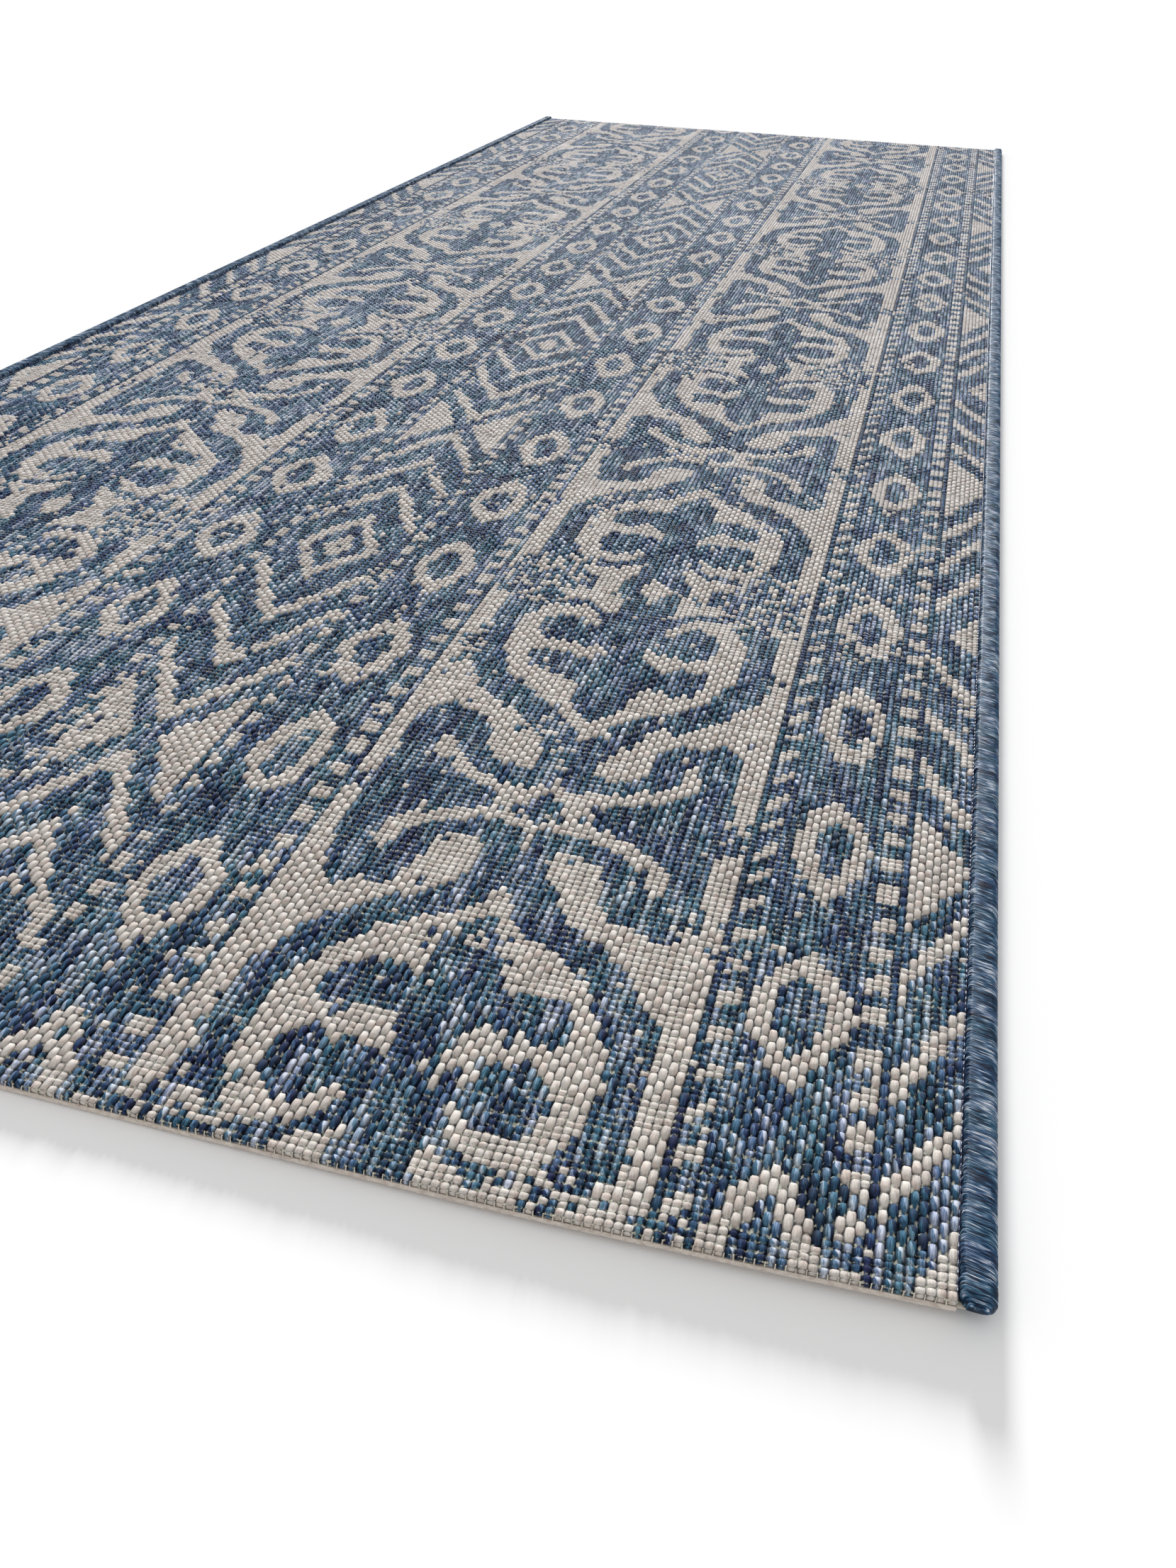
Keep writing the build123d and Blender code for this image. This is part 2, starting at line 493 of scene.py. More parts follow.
middle_x = middle_x - 0.13 * (beside[:, 2:] - beside[:, :-2])
top_x = np.zeros((rows, cols))
top_z = np.zeros((rows, cols))
top_x[:, 0::3] = valley_x
top_x[:, 1::3] = middle_x - half_width
top_x[:, 2::3] = middle_x + half_width
sand_beside = np.pad(sand[row_pick], ((0, 0), (1, 1)), mode="edge")
between_sand = sand_beside[:, :-1] & sand_beside[:, 1:]
between_full = np.minimum(beside[:, :-1], beside[:, 1:])
top_z[:, 0::3] = valley_height + sand_valley_rise * between_sand + full_valley_rise * between_full
top_z[:, 1::3] = height + lean
top_z[:, 2::3] = height - lean
uneven = np.repeat(0.65 * drift(1.6, 2.0, (rows, columns + 1)), 3, axis=1)[:, :cols]
top_y = row_place[:, None] * pick_mm + uneven
top_y[0] = 0
top_y[-1] = picks * pick_mm
top_y = draw_in(top_x * MM, face_low.y + top_y * MM)

# Where a point lies across and along its own float, for the yarn's shading.
across_low = np.tile([0.0, 0.2, 0.8], columns)
across_high = np.tile([0.2, 0.8, 1.0], columns)
face_pick = np.arange(rows - 1) // 3
along_low = (row_place[:-1, None] - start[face_pick]) / length[face_pick]
along_high = (row_place[1:, None] - start[face_pick]) / length[face_pick]
folds = 7
fold_rows = math.ceil((rows - 1) / folds)


def lay_strip(number):
    """One strip of the face: the floats above, with straight sides and a flat underside."""
    left = number * strip_columns * 3
    right = left + strip_columns * 3
    width = right - left + 1
    here = slice(left, right + 1)
    top = np.stack([top_x[:, here] * MM, top_y[:, here], top_z[:, here] * MM], 2)
    low_left = top[:, 0].copy()
    low_right = top[:, -1].copy()
    low_left[:, 2] = face_low.z
    low_right[:, 2] = face_low.z
    low_front = top[0, 1:-1].copy()
    low_back = top[-1, 1:-1].copy()
    low_front[:, 2] = face_low.z
    low_back[:, 2] = face_low.z
    points = np.concatenate([top.reshape(-1, 3), low_left, low_right, low_front, low_back])
    upper = flat_index(rows, width)
    edge_l = np.arange(rows) * width
    edge_r = edge_l + width - 1
    foot_l = rows * width + np.arange(rows)
    foot_r = foot_l + rows
    sides = [
        np.stack([edge_l[:-1], edge_l[1:], foot_l[1:], foot_l[:-1]], 1),
        np.stack([edge_r[1:], edge_r[:-1], foot_r[:-1], foot_r[1:]], 1),
        np.stack([foot_l[1:-2], foot_l[2:-1], foot_r[2:-1], foot_r[1:-2]], 1),
    ]
    inner = foot_r[-1] + 1 + np.arange(width - 2)
    foot_f = np.concatenate([[foot_l[0]], inner, [foot_r[0]]])
    foot_b = np.concatenate([[foot_l[-1]], inner + width - 2, [foot_r[-1]]])
    edge_f = np.arange(width)
    edge_b = edge_f + (rows - 1) * width
    ends = [
        np.stack([edge_f[1:], edge_f[:-1], foot_f[:-1], foot_f[1:]], 1),
        np.stack([edge_b[:-1], edge_b[1:], foot_b[1:], foot_b[:-1]], 1),
    ]
    quads = np.concatenate([upper] + ends + sides)
    under_front = np.concatenate([[foot_l[1], foot_r[1]], foot_f[::-1]])
    under_back = np.concatenate([foot_b, [foot_r[-2], foot_l[-2]]])
    name = f"woven_face_strip_{number + 1:02d}"
    mesh = make_mesh(name, points, quads, [under_front, under_back], len(upper))
    pairs = np.zeros(2 * len(mesh.edges), np.int32)
    mesh.edges.foreach_get("vertices", pairs)
    pairs = pairs.reshape(-1, 2)
    between_yarns = (pairs.max(1) < rows * width) & (pairs % width % 3 == 0).all(1)
    between_yarns &= np.abs(pairs[:, 0] - pairs[:, 1]) == width
    mesh.attributes.new("sharp_edge", "BOOLEAN", "EDGE").data.foreach_set("value", between_yarns)

    cells = np.repeat(np.repeat(yarn[:, left // 3:right // 3], 3, axis=0), 3, axis=1).reshape(-1, 4)
    end_cells = [cells[:width - 1], cells[-(width - 1):]]
    hidden = np.tile(np.float32([0, 0.15, 0.15, 0]), (len(mesh.polygons) - len(upper) - 2 * (width - 1), 1))
    cells = np.concatenate([cells] + end_cells + [hidden]).ravel()
    mesh.attributes.new("yarn", "FLOAT_COLOR", "FACE").data.foreach_set("color", cells)
    lie = np.zeros((rows - 1, width - 1, 4, 3), np.float32)
    lie[:, :, 0::3, 0] = across_low[left:right][None, :, None]
    lie[:, :, 1:3, 0] = across_high[left:right][None, :, None]
    lie[:, :, 0:2, 1] = np.repeat(along_low[:, left // 3:right // 3], 3, axis=1)[:, :, None]
    lie[:, :, 2:4, 1] = np.repeat(along_high[:, left // 3:right // 3], 3, axis=1)[:, :, None]
    ends_lie = np.zeros((2, width - 1, 4, 3), np.float32)
    ends_lie[0, :, [1, 2], 0] = across_low[left:right]
    ends_lie[0, :, [0, 3], 0] = across_high[left:right]
    ends_lie[1, :, [0, 3], 0] = across_low[left:right]
    ends_lie[1, :, [1, 2], 0] = across_high[left:right]
    # These along values bring the painted shade of a float's end onto the end walls, darker towards their
    # foot.
    ends_lie[:, :, 0:2, 1] = 0.3
    ends_lie[:, :, 2:4, 1] = 0.12
    rest = np.zeros((len(mesh.loops) - 4 * len(upper) - 8 * (width - 1), 3), np.float32)
    lie = np.concatenate([lie.reshape(-1, 3), ends_lie.reshape(-1, 3), rest]).ravel()
    mesh.attributes.new("lie", "FLOAT_VECTOR", "CORNER").data.foreach_set("vector", lie)

    # The strip's map is folded into lengths that lie side by side.
    fold = np.arange(rows - 1) // fold_rows
    up_low = (row_place[:-1] - row_place[fold * fold_rows]) / (fold_rows / 3)
    up_high = (row_place[1:] - row_place[fold * fold_rows]) / (fold_rows / 3)
    out = (np.arange(width - 1) // 3 + np.tile([0.0, 0.2, 0.8], strip_columns)) / strip_columns
    out_next = (np.arange(width - 1) // 3 + np.tile([0.2, 0.8, 1.0], strip_columns)) / strip_columns
    chart = np.zeros((rows - 1, width - 1, 4, 2), np.float32)
    chart[:, :, 0::3, 0] = ((fold[:, None] + 0.02 + 0.96 * out[None, :]) / folds)[:, :, None]
    chart[:, :, 1:3, 0] = ((fold[:, None] + 0.02 + 0.96 * out_next[None, :]) / folds)[:, :, None]
    chart[:, :, 0:2, 1] = (0.03 + 0.96 * up_low)[:, None, None]
    chart[:, :, 2:4, 1] = (0.03 + 0.96 * up_high)[:, None, None]
    end_out = np.stack([out_next, out, out, out_next], 1)
    end_chart = np.zeros((2, width - 1, 4, 2))
    end_chart[0, :, :, 0] = 0.02 + 0.30 * end_out
    end_chart[1, :, :, 0] = 0.34 + 0.30 * end_out[:, ::-1]
    end_chart[:, :, 0:2, 1] = 0.019
    end_chart[:, :, 2:4, 1] = 0.004
    turn = np.linspace(0, 2 * math.pi, len(under_front), endpoint=False)
    cap_chart = np.stack([0.8 + 0.1 * np.cos(turn), 0.011 + 0.007 * np.sin(turn)], 1)
    patch = [[0.7, 0.004], [0.9, 0.004], [0.9, 0.018], [0.7, 0.018]]
    side_chart = np.tile(patch, (len(quads) - len(upper) - 2 * (width - 1), 1))
    uv = np.concatenate([chart.reshape(-1, 2), end_chart.reshape(-1, 2), side_chart, cap_chart, cap_chart])
    mesh.uv_layers.new(name="OFBake").data.foreach_set("uv", uv.astype(np.float32).ravel())
    piece = set_piece(name, mesh, face_finish, ["woven_face"])
    return piece


def minus(tree, first, second):
    """One value less another."""
    return sums(tree, "SUBTRACT", first, second)


def about_zero(tree, noise, spread):
    """Noise from 0 to 1 moved to lie about zero, this far apart from end to end."""
    return times(tree, minus(tree, noise, 0.5), spread)


face_finish, tree, shader = new_finish("face_yarn", 0.7)
yarn_read = add(tree, "Attribute", {}, attribute_name="yarn")
yarn_parts = add(tree, "SeparateColor", {"Color": yarn_read.outputs["Color"]})
lie_read = add(tree, "Attribute", {}, attribute_name="lie")
lie_parts = add(tree, "SeparateXYZ", {"Vector": lie_read.outputs["Vector"]})
fibre = grain(tree, (2600, 190, 600), 2.0)
fine_fibre = grain(tree, (5200, 420, 1200), 1.0)
wander = about_zero(tree, grain(tree, (330, 260, 10), 1.0), 0.9)
twist = about_zero(tree, lie_parts.outputs["Y"], 0.75)
ply_place = plus(tree, plus(tree, lie_parts.outputs["X"], twist), wander)
ply = eased(tree, ply_place, 0.42, 0.58)
first_ply = yarn_parts.outputs["Green"]
second_ply = yarn_parts.outputs["Blue"]
tone_mix = plus(tree, first_ply, times(tree, minus(tree, second_ply, first_ply), ply))
flecks = plus(tree, about_zero(tree, fibre, 0.80), about_zero(tree, fine_fibre, 0.45))
blue_tone = plus(tree, tone_mix, flecks)
blue = ramp(tree, blue_tone, [
    (0.0, (38, 42, 66)), (0.2, (42, 62, 94)), (0.38, (58, 98, 128)), (0.56, (98, 128, 156)),
    (0.76, (158, 173, 196)), (1.0, (202, 208, 220)),
])
warm = grain(tree, (90, 30, 10), 1.0)
hue_shift = eased(tree, warm, 0.3, 0.7, 0.474, 0.522)
blue = add(tree, "HueSaturation", {"Hue": hue_shift, "Color": blue}).outputs["Color"]
sand_tone = plus(tree, times(tree, tone_mix, 0.45), times(tree, flecks, 0.75))
sand_dye = ramp(tree, plus(tree, sand_tone, 0.34), [
    (0.0, (138, 126, 118)), (0.35, (192, 183, 175)), (0.62, (214, 207, 199)), (1.0, (228, 223, 216)),
])
rosy = eased(tree, grain(tree, (240, 200, 10), 1.0), 0.48, 0.66, 0.0, 0.45)
sand_dye = blend_of(tree, rosy, sand_dye, blend_of(tree, 1.0, sand_dye, dye(255, 238, 232), "MULTIPLY"))
colour = blend_of(tree, yarn_parts.outputs["Red"], blue, sand_dye)
# Painted shade: the yarn colour is darkened towards each float's sides, ends and corners, where the gaps
# between floats fall in shade.
off_middle = sums(tree, "ABSOLUTE", about_zero(tree, lie_parts.outputs["X"], 2.0), 0.0)
off_centre = sums(tree, "ABSOLUTE", about_zero(tree, lie_parts.outputs["Y"], 2.0), 0.0)
sand_gap_shade = eased(tree, off_middle, 0.62, 1.0, 1.0, 0.38)
blue_gap_shade = eased(tree, off_middle, 0.38, 0.92, 1.0, 0.16)
lean_to_sand = times(tree, minus(tree, sand_gap_shade, blue_gap_shade), yarn_parts.outputs["Red"])
beside_shade = plus(tree, blue_gap_shade, lean_to_sand)
end_shade = eased(tree, off_centre, 0.72, 1.0, 1.0, 0.42)
corner_shade = eased(tree, times(tree, off_middle, off_centre), 0.36, 0.80, 1.0, 0.5)
shade = times(tree, times(tree, beside_shade, end_shade), corner_shade)
colour = darkened(tree, colour, shade)

# The cream weft shows at the ends of short floats, and as specks at the corners of any float.
near_middle = eased(tree, off_middle, 0.25, 0.7, 1.0, 0.0)
weft_shows = times(tree, eased(tree, off_centre, 0.80, 0.97), near_middle)
weft_shows = times(tree, weft_shows, yarn_read.outputs["Alpha"])
weft_shows = times(tree, weft_shows, eased(tree, grain(tree, (150, 150, 10), 1.0), 0.40, 0.56))
corner = times(tree, eased(tree, off_centre, 0.56, 0.80), eased(tree, off_middle, 0.50, 0.80))
corner = times(tree, corner, eased(tree, grain(tree, (420, 420, 10), 1.0), 0.46, 0.57, 0.0, 0.95))
weft_shows = sums(tree, "MAXIMUM", times(tree, weft_shows, 0.8), corner)
colour = blend_of(tree, weft_shows, colour, dye(205, 205, 190))
tree.links.new(colour, shader.inputs["Base Color"])
shader.inputs["Sheen Weight"].default_value = 0.11
shader.inputs["Sheen Roughness"].default_value = 0.4
shader.inputs["Sheen Tint"].default_value = dye(120, 172, 255)
shader.inputs["Specular IOR Level"].default_value = 0.08
raise_fibres(tree, shader, plus(tree, fibre, times(tree, fine_fibre, 0.6)), 0.0004, 0.7)

face_strips = [lay_strip(number) for number in range(strips)]


# Filler cords: a soft three-strand cotton cord along each long edge. The serging is wrapped
# over it, so that the edge is round and firm.
cord_finish, tree, shader = new_finish("filler_cord", 0.85)
cotton = ramp(tree, grain(tree, (500, 500, 500), 4.0), [(0.3, (196, 188, 172)), (0.7, (226, 220, 206))])
tree.links.new(cotton, shader.inputs["Base Color"])
shader.inputs["Sheen Weight"].default_value = 0.2
raise_fibres(tree, shader, grain(tree, (2500, 600, 2500), 2.0), 0.0003, 0.6)
cord_lay = 0.024


def tube_quads(rings, around):
    """The quads of a tube: rings of points one after another, each one closed on itself."""
    ring = np.arange(rings - 1)[:, None] * around
    spot = np.arange(around)[None, :]
    after = (spot + 1) % around
    beyond = ring + around
    return np.stack([ring + spot, ring + after, beyond + after, beyond + spot], 2).reshape(-1, 4)


def lay_cord(side):
    """One filler cord; its three strands twist once in every lay."""
    low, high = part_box("filler_cord_" + side)
    around = 24
    rings = 2400
    y = np.linspace(low.y, high.y, rings)[:, None]
    turn = np.linspace(0, 2 * math.pi, around, endpoint=False)[None, :]
    lobe = np.abs(np.cos(1.5 * (turn - 2 * math.pi * y / cord_lay)))
    radius = (high.z - low.z) / 2 * (0.80 + 0.20 * lobe ** 0.7)
    x = (low.x + high.x) / 2 + radius * np.cos(turn)
    z = (low.z + high.z) / 2 + radius * np.sin(turn)
    points = np.stack([x, draw_in(x, y + 0 * x), z], 2).reshape(-1, 3)
    quads = tube_quads(rings, around)[:, ::-1]
    caps = [np.arange(around), (rings * around - 1 - np.arange(around))]
    mesh = make_mesh("filler_cord_strands_" + side, points, quads, caps)
    return set_piece("filler_cord_strands_" + side, mesh, cord_finish, ["filler_cord_" + side])


filler_cords = [lay_cord("right"), lay_cord("left")]


# Serging: space-dyed blue yarn wrapped close round the filler cord and the cloth's raw edge.
# Every wrap slants towards the front end as it goes out, and the last few close the ends.
serging_finish, tree, shader = new_finish("serging_yarn", 0.5)
wrap_read = add(tree, "Attribute", {}, attribute_name="wrap")
wrap_parts = add(tree, "SeparateXYZ", {"Vector": wrap_read.outputs["Vector"]})
strand = wrap_parts.outputs["X"]
round_it = wrap_parts.outputs["Y"]


def strand_noise(per_mm, round_scale, detail=1.0):
    """Noise that runs with the strands: cells along the rug, and slower ones round the edge."""
    sources = {0: times(tree, strand, per_mm), 1: times(tree, round_it, round_scale)}
    place = add(tree, "CombineXYZ", sources).outputs[0]
    return add(tree, "TexNoise", {"Vector": place, "Scale": 1.0, "Detail": detail}).outputs["Fac"]


bands = about_zero(tree, strand_noise(0.16, 0.10, 2.0), 1.7)
threads = about_zero(tree, strand_noise(1.5, 0.12, 1.0), 2.3)
fine_threads = about_zero(tree, strand_noise(4.2, 0.25, 1.0), 1.5)
wrap_tone = plus(tree, plus(tree, bands, threads), plus(tree, fine_threads, 0.46))
wrap_dye = ramp(tree, wrap_tone, [
    (0.0, (8, 14, 38)), (0.28, (14, 52, 84)), (0.50, (42, 88, 122)),
    (0.74, (108, 134, 164)), (1.0, (204, 211, 221)),
])
wrap_hue = eased(tree, strand_noise(0.09, 0.0), 0.3, 0.7, 0.488, 0.512)
wrap_dye = add(tree, "HueSaturation", {"Hue": wrap_hue, "Color": wrap_dye}).outputs["Color"]
# Painted shade: the wrap colour is darkened in the grooves between wraps.
groove_shade = eased(tree, wrap_parts.outputs["Z"], 0.0, 0.75, 0.35, 1.0)
tree.links.new(darkened(tree, wrap_dye, groove_shade), shader.inputs["Base Color"])
shader.inputs["Sheen Weight"].default_value = 0.04
shader.inputs["Specular IOR Level"].default_value = 0.15
raise_fibres(tree, shader, strand_noise(4.2, 0.25), 0.00025, 0.6)

wrap_rows = 2
wraps = 3400
wrap_groove = 0.24
wrap_slant = 3.2
end_round = 3.6


def serging_outline():
    """The edge's section from its inner floor corner round over the top, as (x, z, run) in mm,
    with the outward directions; x is from the cloth's edge, and run is how far round it is."""
    bends = [
        (0.5, 0.5, 0.5, 190, 190, 1), (1.8, 5.7, 1.8, 180, 90, 4), (7.8, 3.8, 3.7, 78, 0, 5),
        (9.0, 2.5, 2.5, -30, -90, 3), (0.5, 0.5, 0.5, 262, 262, 1),
    ]
    spots = []
    for x, z, radius, begin, finish, count in bends:
        for angle in np.radians(np.linspace(begin, finish, count)):
            out = (math.cos(angle), math.sin(angle))
            spots.append((x + radius * out[0], z + radius * out[1], out[0], out[1]))
    spots = np.array(spots)
    steps = np.hypot(*np.diff(spots[:, :2], axis=0).T)
    return spots, np.concatenate([[0], np.cumsum(steps)])


def wrap_edge(side, mirror):
    """The serging of one long edge, hollow for its filler cord."""
    low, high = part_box("serging_" + side)
    spots, run = serging_outline()
    around = len(spots)
    rings = wraps * wrap_rows + 1
    y = np.linspace(0, (high.y - low.y) / MM, rings)[:, None]
    from_end = np.minimum(y, y[-1] - y)
    out = np.clip((spots[:, 0] + 0.2) / 11.5, 0, 1)[None, :]
    bend = np.clip(from_end / 6.0, 0, 1) ** 0.7
    slant = wrap_slant * (out ** 1.4 - 0.4) * bend
    groove = np.abs(np.cos(math.pi * np.arange(rings) / wrap_rows))[:, None] ** 2
    wraps_vary = np.repeat(dice.uniform(0, 1, wraps + 1), wrap_rows)[:rings, None]
    sink = wrap_groove * groove * (0.6 + 0.8 * wraps_vary[::-1]) + 0.16 * wraps_vary
    reach_in = np.repeat(dice.uniform(-0.3, 0.5, wraps + 1), wrap_rows)[:rings, None] * (out < 0.1)
    closing = np.clip(1 - from_end / end_round, 0, 1)
    shrink = np.sqrt(1 - 0.93 * closing ** 2)
    middle = (5.9, 2.6)
    x = middle[0] + (spots[None, :, 0] - spots[None, :, 2] * sink + reach_in - middle[0]) * shrink
    z = middle[1] + (spots[None, :, 1] - spots[None, :, 3] * sink - middle[1]) * shrink
    z = np.maximum(z, 0.0)
    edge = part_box("woven_face")[1].x
    across = mirror * (edge + x * MM)
    along = low.y + (y - slant) * MM
    along = np.clip(along, low.y, high.y)
    points = np.stack([across, draw_in(across, along), z * MM], 2).reshape(-1, 3)
    quads = tube_quads(rings, around)
    caps = [np.arange(around)[::-1], (rings - 1) * around + np.arange(around)]
    if mirror > 0:
        quads = quads[:, ::-1]
        caps = [cap[::-1] for cap in caps]
    name = "serging_wraps_" + side
    mesh = make_mesh(name, points, quads, caps)
    place = np.zeros((rings, around, 3), np.float32)
    place[:, :, 0] = y + 0.6 * dice.uniform(0, 1) + (5000 if mirror < 0 else 0)
    place[:, :, 1] = run[None, :]
    # The third value is how far out of a groove a point lies, for the painted shade in the grooves.
    place[:, :, 2] = 1 - groove
    mesh.attributes.new("wrap", "FLOAT_VECTOR", "POINT").data.foreach_set("vector", place.ravel())
    return set_piece(name, mesh, serging_finish, ["serging_" + side])


sergings = [wrap_edge("right", 1), wrap_edge("left", -1)]


# Lock threads: a fine clear thread chained along the inner side of each serging. It catches
# every wrap to the cloth; a painted glint lightens its colour once in every pick.
lock_finish, tree, shader = new_finish("lock_thread", 0.28)
lock_read = add(tree, "Attribute", {}, attribute_name="stitch")
# Painted glint: the stitch attribute raises the tone, and so the colour, towards white at the top of each
# stitch.
tone_and_glint = plus(tree, lock_read.outputs["Fac"], times(tree, grain(tree, (900, 900, 900)), 0.25))
dye_and_glint = ramp(tree, tone_and_glint, [(0.3, (44, 48, 84)), (0.75, (110, 120, 150)), (1.0, (214, 218, 226))])
tree.links.new(dye_and_glint, shader.inputs["Base Color"])
raise_fibres(tree, shader, grain(tree, (3000, 800, 3000)), 0.0001, 0.4)


def chain_thread(side, mirror):
    """One lock thread: a chain of small loops, fat in the middle of each stitch."""
    low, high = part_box("lock_thread_" + side)
    around = 6
    steps = 4
    stitches = round((high.y - low.y) / pick_pitch)
    rings = stitches * steps + 1
    y = np.linspace(low.y, high.y, rings)[:, None]
    swell = np.abs(np.sin(math.pi * np.arange(rings) / steps))[:, None] ** 1.5
    turn = np.linspace(0, 2 * math.pi, around, endpoint=False)[None, :]
    half = (high.x - low.x) / 2
    sway = 0.25 * half * np.cos(2 * math.pi * np.arange(rings) / steps)[:, None]
    x = (low.x + high.x) / 2 + sway * mirror + half * (0.35 + 0.25 * swell) * np.cos(turn)
    z = low.z - 0.0003 + (high.z - low.z) * (0.32 + 0.60 * swell + (0.30 + 0.15 * swell) * np.sin(turn))
    z = np.minimum(z, high.z)
    points = np.stack([x, draw_in(x, y + 0 * x), z], 2).reshape(-1, 3)
    name = "lock_thread_chain_" + side
    caps = [np.arange(around), (rings * around - 1 - np.arange(around))]
    mesh = make_mesh(name, points, tube_quads(rings, around)[:, ::-1], caps)
    # Painted glint: each stitch's top gets a random share of near-white colour.
    glint = np.repeat(dice.uniform(0.35, 1.15, stitches + 1), steps)[:rings, None]
    painted_glint = (swell ** 4 * glint * np.ones((1, around))).astype(np.float32)
    mesh.attributes.new("stitch", "FLOAT", "POINT").data.foreach_set("value", painted_glint.ravel())
    return set_piece(name, mesh, lock_finish, ["lock_thread_" + side])


lock_threads = [chain_thread("right", 1), chain_thread("left", -1)]


# End tapes: a narrow cream tape under each short end, turned up over the cut edge of the cloth
# and stuck down. Its lip shows as a thin line below the last row of yarn.
tape_finish, tree, shader = new_finish("end_tape", 0.75)
tape_tone = grain(tree, (500, 700, 700), 3.0)
tape_dye = ramp(tree, tape_tone, [(0.3, (186, 172, 162)), (0.55, (212, 201, 190)), (0.8, (226, 218, 207))])
tape_rib = add(tree, "TexWave", {"Scale": 320.0, "Distortion": 1.0, "Detail": 1.0}, bands_direction="X")
tree.links.new(add(tree, "TexCoord", {}).outputs["Object"], tape_rib.inputs["Vector"])
tree.links.new(tape_dye, shader.inputs["Base Color"])
shader.inputs["Sheen Weight"].default_value = 0.2
raise_fibres(tree, shader, plus(tree, tape_rib.outputs["Fac"], tape_tone), 0.0002, 0.5)


def fold_tape(end, mirror):
    """One end tape; its section is an L with rounded corners, and its lip waves a little."""
    low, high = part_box("end_tape_" + end)
    front = low.y if mirror > 0 else -high.y
    lip = 0.8 * MM
    depth = high.y - low.y
    section = [
        (depth, 0.12), (depth, 0.85), (depth - 0.3 * MM, 1.0), (lip + 0.6 * MM, 1.0), (lip + 0.1 * MM, 1.1),
        (lip, 1.3), (lip, 1.95), (0.65 * lip, 2.18), (0.35 * lip, 2.18), (0.08 * lip, 1.95), (0, 1.6),
        (0.02 * lip, 0.6), (0.2 * lip, 0.12), (0.6 * lip, 0.0), (depth - 0.3 * MM, 0.0),
    ]
    around = len(section)
    rings = 900
    x = np.linspace(low.x, high.x, rings)[:, None] + np.zeros((1, around))
    y = np.array([spot[0] for spot in section])[None, :] + 0 * x
    z = np.array([spot[1] for spot in section])[None, :] * MM + 0 * x
    wave = drift(1, 18, (rings, 1)) + 0.5 * drift(1, 5, (rings, 1))
    on_lip = (np.array([spot[1] for spot in section]) > 1.2)[None, :]
    z = z + on_lip * 0.10 * MM * (wave - 0.5)
    y = y + on_lip * 0.06 * MM * (wave + 1)
    along = mirror * (front + y)
    points = np.stack([x, draw_in(x, along), np.minimum(z, high.z)], 2).reshape(-1, 3)
    quads = tube_quads(rings, around)
    caps = [np.arange(around)[::-1], (rings - 1) * around + np.arange(around)]
    if mirror < 0:
        quads = quads[:, ::-1]
        caps = [cap[::-1] for cap in caps]
    name = "end_tape_fold_" + end
    return set_piece(name, make_mesh(name, points, quads, caps), tape_finish, ["end_tape_" + end])


end_tapes = [fold_tape("front", 1), fold_tape("back", -1)]


# End threads: one small cream stitch between every two columns of yarn, from the tape's lip
# up to the face. They hold the lip, and keep the last row of floats from fraying.
thread_finish, tree, shader = new_finish("end_thread", 0.7)
thread_dye = ramp(tree, grain(tree, (800, 800, 800), 2.0), [(0.3, (178, 168, 154)), (0.7, (216, 208, 194))])
tree.links.new(thread_dye, shader.inputs["Base Color"])
shader.inputs["Sheen Weight"].default_value = 0.2
raise_fibres(tree, shader, grain(tree, (2500, 2500, 900)), 0.0002, 0.5)


def stitch_end(end, mirror):
    """One end's stitches, each a short thread that leans and bows out a little."""
    low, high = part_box("end_threads_" + end)
    around = 8
    rings = 7
    count = columns - 1
    climb = np.linspace(0, 1, rings)[None, :, None]
    turn = np.linspace(0, 2 * math.pi, around, endpoint=False)[None, None, :]
    middle = ((np.arange(count) - (count - 1) / 2) * column_pitch)[:, None, None]
    lean = dice.uniform(-0.25, 0.25, (count, 1, 1)) * MM
    reach = dice.uniform(0.75, 1.0, (count, 1, 1))
    radius = 0.27 * MM * (1 - 0.25 * climb) * dice.uniform(0.85, 1.1, (count, 1, 1))
    x = middle + lean * climb + radius * np.cos(turn)
    y = (0.42 - 0.14 * np.sin(math.pi * climb)) * MM + radius * np.sin(turn)
    front = low.y if mirror > 0 else -high.y
    y = np.maximum(y, 0.0) + 0.5 * MM * climb ** 3
    z = low.z - 0.1 * MM + (high.z - low.z) * reach * climb + 0 * turn
    along = mirror * (front + y)
    x, along, z = np.broadcast_arrays(x, along, z)
    points = np.stack([x, draw_in(x, along), z], 3).reshape(-1, 3)
    one = tube_quads(rings, around)
    if mirror < 0:
        one = one[:, ::-1]
    first_point = np.arange(count)[:, None, None] * rings * around
    quads = (one[None] + first_point).reshape(-1, 4)
    foot = np.arange(around)[::-1] if mirror > 0 else np.arange(around)
    head = (rings - 1) * around + foot[::-1]
    caps = [cap + start_at for cap in (foot, head) for start_at in first_point.ravel()]
    name = "end_stitches_" + end
    mesh = make_mesh(name, points, quads, caps)
    return set_piece(name, mesh, thread_finish, ["end_threads_" + end])


end_stitches = [stitch_end("front", 1), stitch_end("back", -1)]


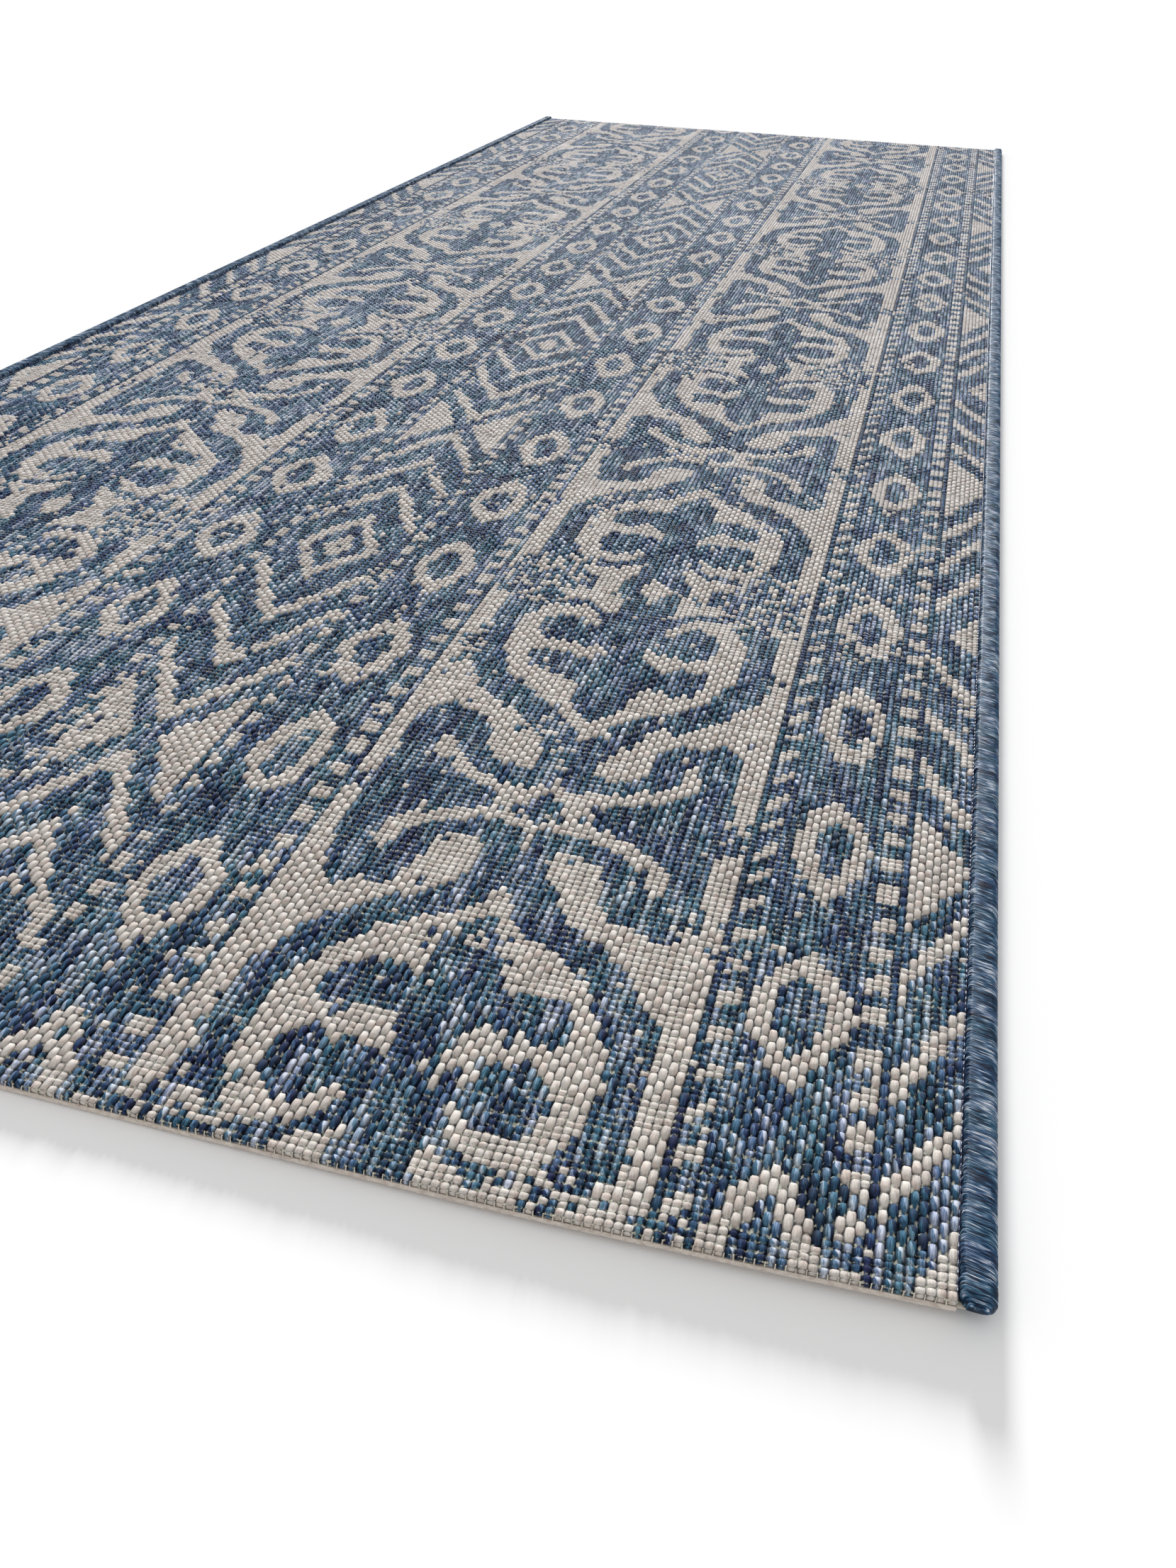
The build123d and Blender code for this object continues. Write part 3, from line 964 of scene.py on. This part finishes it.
# The floor: plain, pale and matt, just under the rug, and wide enough to have no edge in view.
floor_mesh = bpy.data.meshes.new("floor")
half_floor = 60.0
under_rug = -0.0002
floor_signs = [(-1, -1), (1, -1), (1, 1), (-1, 1)]
floor_corners = [(x * half_floor, y * half_floor, under_rug) for x, y in floor_signs]
floor_mesh.from_pydata(floor_corners, [], [(0, 1, 2, 3)])
floor = bpy.data.objects.new("floor", floor_mesh)
bpy.context.scene.collection.objects.link(floor)
floor_finish, tree, shader = new_finish("floor", 0.9)
shader.inputs["Base Color"].default_value = dye(254, 254, 254)
shader.inputs["Specular IOR Level"].default_value = 0.0
floor_mesh.materials.append(floor_finish)


# The cloth as it lies: its front end stands a little off the floor, with all that is sewn to
# it.
lifted_length = 0.20
flat_half = 0.12
lifted_width = 0.28
middle_lift = 0.0004
corner_lift = 0.0030


def stand_off(x, y):
    """How far the cloth stands off the floor at its front end, most of all at its corners."""
    reach = np.clip((rug_front + lifted_length - y) / lifted_length, 0, 1)
    corner = np.clip((np.abs(x) - flat_half) / lifted_width, 0, 1)
    return (middle_lift + corner_lift * corner) * reach * reach


rug_pieces = filler_cords + sergings + lock_threads + end_tapes + end_stitches
for piece in [backing_coat, ground_weave_cloth] + face_strips + rug_pieces:
    spots = np.zeros(3 * len(piece.data.vertices), np.float32)
    piece.data.vertices.foreach_get("co", spots)
    spots[2::3] += stand_off(spots[0::3], spots[1::3])
    piece.data.vertices.foreach_set("co", spots)
    piece.data.update()


# Light: a bright, even studio, with one low soft lamp beyond the far end, a little to the left.
world = bpy.data.worlds.new("studio")
bpy.context.scene.world = world
world.use_nodes = True
world.node_tree.nodes["Background"].inputs["Color"].default_value = dye(255, 255, 255)
world.node_tree.nodes["Background"].inputs["Strength"].default_value = 0.67
far_lamp = bpy.data.lights.new("far_lamp", "SUN")
far_lamp.energy = 4.75
far_lamp.angle = math.radians(9)
far_lamp_holder = bpy.data.objects.new("far_lamp", far_lamp)
far_lamp_holder.rotation_euler = (math.radians(-76.5), 0, math.radians(10))
bpy.context.scene.collection.objects.link(far_lamp_holder)
bpy.context.scene.view_settings.view_transform = "Standard"
